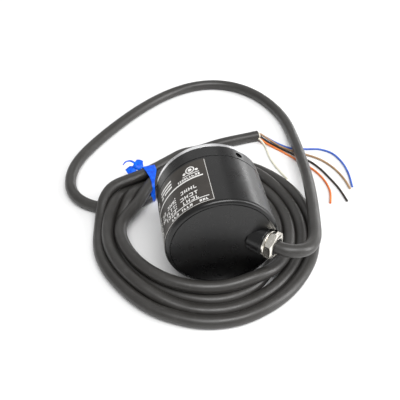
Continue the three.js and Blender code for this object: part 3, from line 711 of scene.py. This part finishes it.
def strands_under_tie(line):
    """Where the cable's strands cross the tie's plane, as (across, height), with the skew of each."""
    strands = []
    for a, b in zip(line[:-1], line[1:]):
        before = (Vector(a) - TIE_MIDDLE).dot(TIE_ALONG)
        after = (Vector(b) - TIE_MIDDLE).dot(TIE_ALONG)
        if (before < 0) == (after < 0):
            continue
        cross = Vector(a).lerp(Vector(b), before / (before - after)) - TIE_MIDDLE
        if abs(cross.dot(TIE_ACROSS)) < TIE_REACH:
            run = (Vector(b) - Vector(a)).normalized()
            strands.append((cross.dot(TIE_ACROSS), cross.z, abs(run.dot(TIE_ALONG))))
    return strands


def strip_faces(sections, rows, ring=False):
    """Faces of a strip whose vertices are listed row by row across each of its sections."""
    faces = []
    for n in range(sections if ring else sections - 1):
        for k in range(rows - 1):
            a, b = n * rows + k, (n + 1) % sections * rows + k
            faces.append((a, a + 1, b + 1, b))
    return faces


def strap(line):
    """The film pulled tight round the bundle: a creased band, narrow on the encoder's side."""
    radius = CABLE_DIAMETER / 2 + TIE_LIFT
    strands = strands_under_tie(line)
    loop = []
    directions = 144
    for k in range(directions):
        angle = 2 * math.pi * k / directions
        u, z = math.cos(angle), math.sin(angle)
        touching = []
        for across, height, square in strands:
            wide = radius / square
            reach = math.hypot(wide * u, radius * z)
            far = across * u + height * z + reach
            touching.append((far, across + wide**2 * u / reach, height + radius**2 * z / reach))
        _, across, height = max(touching)
        loop.append((across, max(height, TIE_FILM)))
    ring = np.array(loop + loop[:1])
    run = np.r_[0, np.cumsum(np.linalg.norm(np.diff(ring, axis=0), axis=1))]
    stops = np.linspace(0, run[-1], TIE_SECTIONS + 1)[:-1]
    ring = np.stack([np.interp(stops, run, ring[:, k]) for k in range(2)], 1)
    creases = random.Random(7)
    folds = [(creases.uniform(0.5, 1), creases.uniform(2.4, 5.5), creases.uniform(0, 6)) for _ in range(4)]
    vertices = []
    for n, (across, height) in enumerate(ring):
        after = ring[(n + 1) % len(ring)] - ring[n - 1]
        normal = np.array((after[1], -after[0])) / np.linalg.norm(after)
        width = np.interp(across, TIE_PLACES, TIE_WIDTHS)
        lean = np.interp(across, TIE_PLACES, TIE_LEANS)
        for k in range(TIE_ROWS):
            share = k / (TIE_ROWS - 1) - 0.5
            fold = sum(a * math.sin(b * share * 3.2 + c + 0.03 * n) for a, b, c in folds)
            lift = TIE_CREASE * (1 + fold / 3) * min(1, height / 2)
            point = TIE_MIDDLE + TIE_ACROSS * (across + normal[0] * lift) + TIE_ALONG * (lean + share * width)
            vertices.append((point.x, point.y, max(height + normal[1] * lift, TIE_FILM)))
    return vertices, strip_faces(TIE_SECTIONS, TIE_ROWS, ring=True)


def ribbon(points, widths, leans, rows=5):
    """A flat ribbon along points, with its width and its lean about its own line at each."""
    line = smooth_line(points, 8)
    shares = np.linspace(0, 1, len(line))
    marks = np.linspace(0, 1, len(points))
    width = np.interp(shares, marks, widths)
    lean = np.interp(shares, marks, leans)
    vertices = []
    for n, here in enumerate(line):
        run = Vector(line[min(n + 1, len(line) - 1)] - line[max(n - 1, 0)]).normalized()
        side = run.cross(Vector((0, 0, 1))).normalized()
        side = Matrix.Rotation(math.radians(lean[n]), 3, run) @ side
        up = side.cross(run)
        for k in range(rows):
            across = k / (rows - 1) - 0.5
            crown = 0.22 * (0.25 - across**2) * width[n]
            vertices.append(tuple(Vector(here) + side * across * width[n] + up * crown))
    return vertices, strip_faces(len(line), rows)


# The tie's two spread ends and the thin torn strip between them: where each runs, its width and lean.
TIE_ENDS = [
    ([(-23.2, 61.6, 9.9), (-24.2, 62.2, 10.1), (-25.2, 63, 10.4), (-26.6, 63.9, 10.5)],
     (1.0, 4.6, 4.9, 4.2), (-45, -30, -20, -15)),
    ([(-24.2, 61.9, 9.9), (-26.2, 61.6, 9.4), (-28, 61.2, 8.9), (-30.1, 60.5, 8.2)],
     (1.0, 1.6, 4.6, 4.0), (-40, -30, -20, -10)),
    ([(-25.6, 62.4, 10.2), (-26.7, 63.9, 10.7), (-28.3, 65.2, 10.9), (-30.1, 65.3, 10.7),
      (-31.7, 63.6, 10.2)],
     (1.6, 1.3, 1.2, 0.8, 0.3), (10, 10, 5, 5, 0)),
]


def build_tie(line):
    shape = gather([strap(line)] + [ribbon(*end) for end in TIE_ENDS])
    tie = add_mesh("twist_tie", *shape, "tie_blue", replaces=["cable_tie"], crease=60)
    thicken = tie.modifiers.new("thickness", "SOLIDIFY")
    thicken.thickness = TIE_FILM * MM
    thicken.offset = 0
    return tie


TIE = build_tie(CABLE_LINE)


# ---------- housing ----------
WALL = 0.9
SCREW_Y = 27.9
SCREW_ANGLES = (57.5, 177.5, 297.5)
SCREW_HOLE = 1.35  # radius, in the can and in the flange
FACE_HOLE_ANGLES = (90, 210, 330)
FACE_HOLE_CIRCLE = 15  # radius of the circle that the tapped holes lie on

# The slanted outlet boss: radii, and the seat that its end gives the gland, along the outlet's axis.
OUTLET_RADIUS = 5
OUTLET_BORE = 4.1
OUTLET_START = -4
OUTLET_END = 1.4
NUT_SEAT_RADIUS = 5.4


def add_cover():
    """The drawn can: round rear edge with a fine groove inside it, seam of the front band, outlet boss."""
    wall = BODY_RADIUS - WALL
    outline = rounded(
        [
            (0, 0.12), (18.1, 0.12, 0.1), (18.15, 0.5, 0.05), (18.4, 0.5, 0.05), (18.5, 0, 0.05),
            (BODY_RADIUS, 0, 1.4), (BODY_RADIUS, 24.95, 0.06), (19.78, 25.05, 0.05),
            (19.78, 25.4, 0.05), (BODY_RADIUS, 25.5, 0.05), (BODY_RADIUS, COVER_LENGTH, 0.12),
            (wall, COVER_LENGTH, 0.12), (wall, 1.2, 0.5), (0, 1.2),
        ],
        steps=8,
    )
    cover = add_mesh("can", *lathe(outline, 240), "cover_black", replaces=["rear_cover"])
    screw_holes = [rod(SCREW_HOLE, 18, 21, 48, radial_axis(angle, SCREW_Y)) for angle in SCREW_ANGLES]
    combine(cover, screw_holes, "DIFFERENCE")
    boss = rounded(
        [(0, OUTLET_START), (OUTLET_RADIUS, OUTLET_START), (OUTLET_RADIUS, OUTLET_END, 0.3), (0, OUTLET_END)]
    )
    combine(cover, [lathe(boss, 96, False, OUTLET_AXIS)], "UNION")
    bore = rod(OUTLET_BORE, 2 * OUTLET_START, OUTLET_END + 1, 96, OUTLET_AXIS)
    combine(cover, [bore], "DIFFERENCE")
    nut_seat = rod(NUT_SEAT_RADIUS, OUTLET_END, 9.6, 96, OUTLET_AXIS)
    combine(cover, [nut_seat], "DIFFERENCE")
    even_normals(cover)


def thread(turns, start, root, crest):
    """Rings of a half millimetre pitch, as outline points, in place of a helix."""
    pitch = 0.5
    points = []
    for turn in range(turns):
        y = start + turn * pitch
        points += [(root, y), (crest, y + 0.4 * pitch), (crest, y + 0.6 * pitch)]
    return points


def add_flange():
    """Turned aluminium flange: stepped spigot, chamfered rim, pilot boss and three tapped face holes."""
    outline = rounded(
        [
            (7.53, 20.8), (10, 20.8, 0.15), (10, 25.5, 0.2), (18.95, 25.5, 0.2), (18.95, 29, 0.06),
            (18.25, 29, 0.06), (18.25, 30.2, 0.06), (18.95, 30.2, 0.06), (18.95, 31.2), (19.8, 31.2, 0.08),
            (19.8, 32.72, 0.06), (19.52, FLANGE_FACE, 0.06), (10, FLANGE_FACE, 0.12), (10, 37.6, 0.08),
            (9.6, 38, 0.08), (5.4, 38, 0.05), (5.2, 37.8, 0.05), (5.2, 36.83), (7.53, 36.83, 0.1),
        ],
        closed=True,
    )
    flange = add_mesh("flange", *lathe(outline, 200, True), "flange_aluminium", replaces=["front_flange"])
    holes = []
    tapped = [(0, 27.2), (1.05, 27.2)] + thread(11, 27.4, 1.05, 1.25)
    tapped += [(1.05, 32.8), (1.45, 33.1), (1.45, 34), (0, 34)]
    for degrees in FACE_HOLE_ANGLES:
        angle = math.radians(degrees)
        across = (FACE_HOLE_CIRCLE * math.cos(angle), 0, FACE_HOLE_CIRCLE * math.sin(angle))
        holes.append(lathe(tapped, 40, False, ENCODER_AXIS @ Matrix.Translation(across)))
    for angle in SCREW_ANGLES:
        holes.append(rod(SCREW_HOLE, 15.95, 20.95, 40, radial_axis(angle, SCREW_Y)))
    combine(flange, holes, "DIFFERENCE")
    even_normals(flange)


def add_cover_screws():
    """Set screws that hold the can on the flange, with chamfered ends and hex sockets."""
    outline = [(0, 16.3), (0.7, 16.3), (1.0, 16.6)] + thread(5, 16.7, 1.0, 1.15)
    outline += [(1.0, 19.3), (0.85, 19.5), (0, 19.5)]
    for number, angle in enumerate(SCREW_ANGLES, 1):
        axis = radial_axis(angle, SCREW_Y)
        shape = lathe(outline, 40, False, axis)
        screw = add_mesh(f"grub_screw_{number}", *shape, "black_steel", replaces=[f"cover_screw_{number}"])
        socket = rod(0.6, 18.3, 20, 6, axis)
        combine(screw, [socket], "DIFFERENCE")


def add_shaft():
    """Ground steel shaft with its D flat, lead chamfer, ring groove and a fine centre hole in the end."""
    outline = rounded(
        [
            (0, 12.2), (2.72, 12.2), (2.97, 12.45), (2.97, 20.7), (2.5, 20.7, 0.05), (2.5, 21.35, 0.05),
            (2.97, 21.35), (2.97, 27.03, 0.1), (3.9, 27.03, 0.15), (3.9, 31.77, 0.15), (2.97, 31.77, 0.1),
            (2.97, 52.5, 0.06), (2.47, 53, 0.06), (0.75, 53), (0.45, 52.5), (0.45, 51.8), (0, 51.5),
        ]
    )
    shaft = add_mesh("drive_shaft", *lathe(outline, 96), "steel", body="shaft", replaces=["shaft"])
    flat = block((-4, 43, 2.47), (4, 54, 4))
    combine(shaft, [flat], "DIFFERENCE", crease=20)
    even_normals(shaft)


def add_shaft_seal():
    """Rubber lip seal in the flange's nose."""
    outline = rounded(
        [
            (3.15, 37.2), (3.3, 36.95), (5.12, 36.95, 0.1), (5.12, 37.8, 0.15), (4.5, 37.8, 0.1),
            (4.2, 37.45, 0.1), (3.6, 37.45, 0.1), (3.3, 37.82, 0.06), (3.15, 37.7),
        ],
        closed=True,
    )
    add_mesh("lip_seal", *lathe(outline, 96, True), "rubber", replaces=["shaft_seal"])


# The gland nut, along the outlet's own axis.
NUT_INNER = 2.7
NUT_OUTER = 5.6
NUT_FLAT = 4.5  # from the axis to a flat
NUT_CORNER = NUT_FLAT / math.cos(math.pi / 6)
NUT_TURN = math.pi / 6  # puts a corner of the hexagon on top


def add_gland():
    """Nickelled compression gland: collar, hexagon nut with turned chamfers, and the seal round the cable."""
    collar = rounded(
        [
            (2.65, -4.2), (3.8, -4.2, 0.1), (3.8, 1.5), (4.55, 1.5, 0.12), (4.78, 1.75, 0.12),
            (4.78, 2.35, 0.15), (4.4, 2.6, 0.1), (3.5, 2.6, 0.1), (3.5, 3.7, 0.15), (2.65, 3.7, 0.1),
        ],
        closed=True,
    )
    collar_shape = lathe(collar, 96, True, OUTLET_AXIS)
    collar_piece = add_mesh("gland_collar", *collar_shape, "nickel", replaces=["gland_body"])
    prism = rod(NUT_CORNER, NUT_INNER, NUT_OUTER, 6, OUTLET_AXIS @ Matrix.Rotation(NUT_TURN, 4, "Y"))
    nut = add_mesh("hexagon_nut", *prism, "nickel", replaces=["gland_nut"])
    turned = rounded(
        [
            (0, NUT_INNER), (NUT_FLAT, NUT_INNER), (NUT_CORNER, 3.05), (NUT_CORNER, 5.0),
            (4.35, 5.42, 0.5), (3.75, NUT_OUTER, 0.2), (0, NUT_OUTER),
        ]
    )
    combine(nut, [lathe(turned, 96, False, OUTLET_AXIS)], "INTERSECT")
    bore = rounded([(0, 1), (3.65, 1), (3.65, 4.9, 0.1), (3.2, 4.9), (3.2, 5.35), (3.5, 6), (0, 6)])
    combine(nut, [lathe(bore, 96, False, OUTLET_AXIS)], "DIFFERENCE")
    even_normals(nut)
    seal = rounded(
        [
            (2.46, 3.8), (3.55, 3.8, 0.1), (3.55, 4.8, 0.1), (3.12, 4.95), (3.12, 5.4, 0.2),
            (2.75, 5.56, 0.12), (2.46, 5.4),
        ],
        closed=True,
    )
    seal_shape = lathe(seal, 96, True, OUTLET_AXIS)
    seal_piece = add_mesh("cable_seal", *seal_shape, "rubber", replaces=["gland_seal"])
    return [collar_piece, nut, seal_piece]


# ---------- label ----------
# Angles run in degrees from +X towards +Z, seen from the rear; spans and heights run along Y.
LABEL_RADII = (20.03, 20.13)
LABEL_ANGLES = (97.5, 232.5)
LABEL_SPAN = (1.5, 24.1)
LABEL_CORNER = 0.6
PRINT_RADII = (20.1, 20.16)
DEGREES_PER_MM = math.degrees(1 / LABEL_RADII[1])
STROKE = 0.34
STROKE_GAP = 0.02  # keeps the strokes of a block from touching
BLOCK_WIDTHS = (0.55, 0.95)  # shares of a row's height
BLOCK_SPACE = 0.3


def four_faces(a, b):
    """The long faces between two sections of four vertices, whose numbers start at a and b."""
    return [(a + k, a + m, b + m, b + k) for k, m in ((0, 1), (2, 3), (0, 2), (1, 3))]


def bent_plate(angles, span, radii, corner=0.0, step=1.2):
    """A thin plate wrapped round the can, between two angles from +X towards +Z, with rounded corners."""
    start, end = (math.radians(a) for a in angles)
    columns = max(1, math.ceil((end - start) / math.radians(step)))
    places = set(np.linspace(start, end, columns + 1))
    turn = corner / radii[1]
    for share in np.linspace(0, 1, 6) if corner else ():
        inset = turn * (1 - math.cos(share * math.pi / 2))
        places |= {start + inset, end - inset}
    vertices, faces = [], []
    places = sorted(places)
    for angle in places:
        inside = min(angle - start, end - angle) * radii[1]
        drop = corner - math.sqrt(max(0, corner**2 - (corner - inside) ** 2)) if inside < corner else 0
        for radius in radii:
            for y in (span[0] + drop, span[1] - drop):
                vertices.append((radius * math.cos(angle), y, AXIS_Z + radius * math.sin(angle)))
    for n in range(len(places) - 1):
        faces += four_faces(4 * n, 4 * n + 4)
    last = 4 * (len(places) - 1)
    faces += [(0, 1, 3, 2), (last, last + 2, last + 3, last + 1)]
    return vertices, faces


def printed(angles, span):
    return bent_plate(angles, span, PRINT_RADII, step=2.5)


def ring_mark(angle, y, outer, inner, parts=20):
    """A small printed ring, as short plates bent into a circle."""
    vertices, faces = [], []
    for k in range(parts):
        turn = 2 * math.pi * k / parts
        for radius in (inner, outer):
            across = math.radians(angle + radius * math.cos(turn) * DEGREES_PER_MM)
            for depth in PRINT_RADII:
                vertices.append(
                    (depth * math.cos(across), y + radius * math.sin(turn), AXIS_Z + depth * math.sin(across))
                )
    for k in range(parts):
        faces += four_faces(4 * k, 4 * ((k + 1) % parts))
    return vertices, faces


def block_row(first, last, y, height, seed, gap_chance=0.08):
    """A printed row of open blocks of uneven width, which stand for no writing."""
    pick = random.Random(seed)
    thin = STROKE * DEGREES_PER_MM
    clear = STROKE_GAP * DEGREES_PER_MM
    low, high = y - height / 2, y + height / 2
    over_base, under_top = low + STROKE + STROKE_GAP, high - STROKE - STROKE_GAP
    shapes = []
    at = first
    while last - at > 3 * thin:
        end = min(at + pick.uniform(*BLOCK_WIDTHS) * height * DEGREES_PER_MM, last)
        middle = (at + end) / 2
        base = ((at, end), (low, low + STROKE))
        top = ((at, end), (high - STROKE, high))
        bar = ((at + thin + clear, end - thin - clear), (y - STROKE / 2, y + STROKE / 2))
        blocks = [
            [base, top, ((at, at + thin), (over_base, under_top))],
            [((at, at + thin), (low, high)), ((end - thin, end), (low, high)), bar],
            [top, ((middle - thin / 2, middle + thin / 2), (low, under_top))],
            [base, ((end - thin, end), (over_base, high))],
        ]
        block_strokes = blocks[pick.randrange(len(blocks))]
        if pick.random() > gap_chance:
            shapes += [printed(*stroke) for stroke in block_strokes]
        at = end + BLOCK_SPACE * height * DEGREES_PER_MM
    return shapes


# Rules as (first angle, last angle, lowest y, highest y).
LABEL_RULES = [
    (103, 205, 15.3, 15.95),
    (102, 147, 4.3, 4.62),
    (98.2, 231.8, 1.85, 2.0),
    (98.2, 98.6, 2.02, 23.7),
    (231.4, 231.8, 2.02, 23.7),
    (106, 124, 17.9, 18.25),
    (139, 159, 20.9, 21.7),
    (139, 159, 19.3, 20.1),
    (139, 152, 17.7, 18.5),
    (155, 159, 17.7, 18.5),
]
# Rows of blocks as (first angle, last angle, middle y, height, seed).
LABEL_ROWS = [
    (106, 133, 16.85, 1.0, 3),
    (112, 133.5, 11.0, 1.6, 11),
    (112, 133.5, 8.0, 1.6, 5),
    (112, 133.5, 5.7, 1.6, 8),
    (103.7, 147.5, 3.1, 1.1, 21),
    (139.5, 165, 10.2, 1.5, 13),
    (139.5, 165, 7.9, 1.5, 17),
    (139.5, 165, 5.7, 1.5, 19),
    (170, 222, 12.6, 1.7, 23),
    (170, 214, 9.9, 1.3, 29),
    (170, 224, 7.6, 1.3, 31),
    (170, 208, 5.3, 1.3, 37),
    (168, 204, 19.4, 2.6, 41),
]
# Rings as (angle, y, outer radius, inner radius).
LABEL_RINGS = [
    (115, 20.3, 1.75, 1.3), (115, 20.3, 0.75, 0.05), (108.2, 19.4, 0.6, 0.05), (121.8, 19.4, 0.6, 0.05),
]
# A column of small dashes: its angles, and each dash's lowest y.
DASH_ANGLES = (137.4, 138.8)
DASH_LOWS = [5.9 + number * 1.05 for number in range(6)]
DASH_HEIGHT = 0.42


def add_label():
    """Film label on the can, with generic rules, rings and rows of blocks printed on it."""
    film = bent_plate(LABEL_ANGLES, LABEL_SPAN, LABEL_RADII, LABEL_CORNER)
    add_mesh("rating_label", *film, "label_black", replaces=["label"])
    shapes = [printed((first, last), (low, high)) for first, last, low, high in LABEL_RULES]
    shapes += [ring_mark(*ring) for ring in LABEL_RINGS]
    for row in LABEL_ROWS:
        shapes += block_row(*row)
    shapes += [printed(DASH_ANGLES, (low, low + DASH_HEIGHT)) for low in DASH_LOWS]
    add_mesh("label_print", *gather(shapes), "label_white", slot="plastic_white")


add_cover()
add_flange()
add_cover_screws()
add_shaft()
add_shaft_seal()
GLAND_PIECES = add_gland()
add_label()


# ---------- stage ----------
def add_floor():
    half = 3  # metres
    corners = [(-half, -half, 0), (half, -half, 0), (half, half, 0), (-half, half, 0)]
    mesh = bpy.data.meshes.new("floor")
    mesh.from_pydata(corners, [], [(0, 1, 2, 3)])
    mesh.materials.append(floor_finish())
    floor = bpy.data.objects.new("floor", mesh)
    bpy.context.scene.collection.objects.link(floor)


# Lamps as (name, place in metres in the frame, width, height, watts). Each aims at the object.
LAMP_AIM = Vector((0, 0, 0.02))
LAMPS = [
    ("overhead", (0.1, -0.5, 1.05), 0.9, 0.45, 12),
    ("side_box", (0.95, -0.3, 0.45), 0.35, 0.9, 8),
    ("back_box", (-0.2, 1.3, 1.1), 1.6, 0.8, 2.4),
    ("low_wall", (1.15, 1.1, 0.12), 1.5, 0.22, 5),
]


def add_lights():
    world = bpy.data.worlds.new("studio")
    world.use_nodes = True
    background = world.node_tree.nodes["Background"]
    background.inputs["Color"].default_value = (1, 1, 1, 1)
    background.inputs["Strength"].default_value = 0.42
    bpy.context.scene.world = world
    for name, at, width, height, watts in LAMPS:
        data = bpy.data.lights.new(name, "AREA")
        data.shape = "RECTANGLE"
        data.size = width
        data.size_y = height
        data.energy = watts
        lamp = bpy.data.objects.new(name, data)
        lamp.location = at
        lamp.rotation_euler = (LAMP_AIM - Vector(at)).to_track_quat("-Z", "Y").to_euler()
        bpy.context.scene.collection.objects.link(lamp)
    bpy.context.scene.view_settings.view_transform = "Standard"


add_floor()
add_lights()

# ---------- carried-over CAD nodes ----------
for row in frame["record"]["subparts"]:
    shown = frame["nodes"][row["node"]]
    shown.data.materials.clear()
    shown.data.materials.append(MATERIALS[row["material_slot"]])
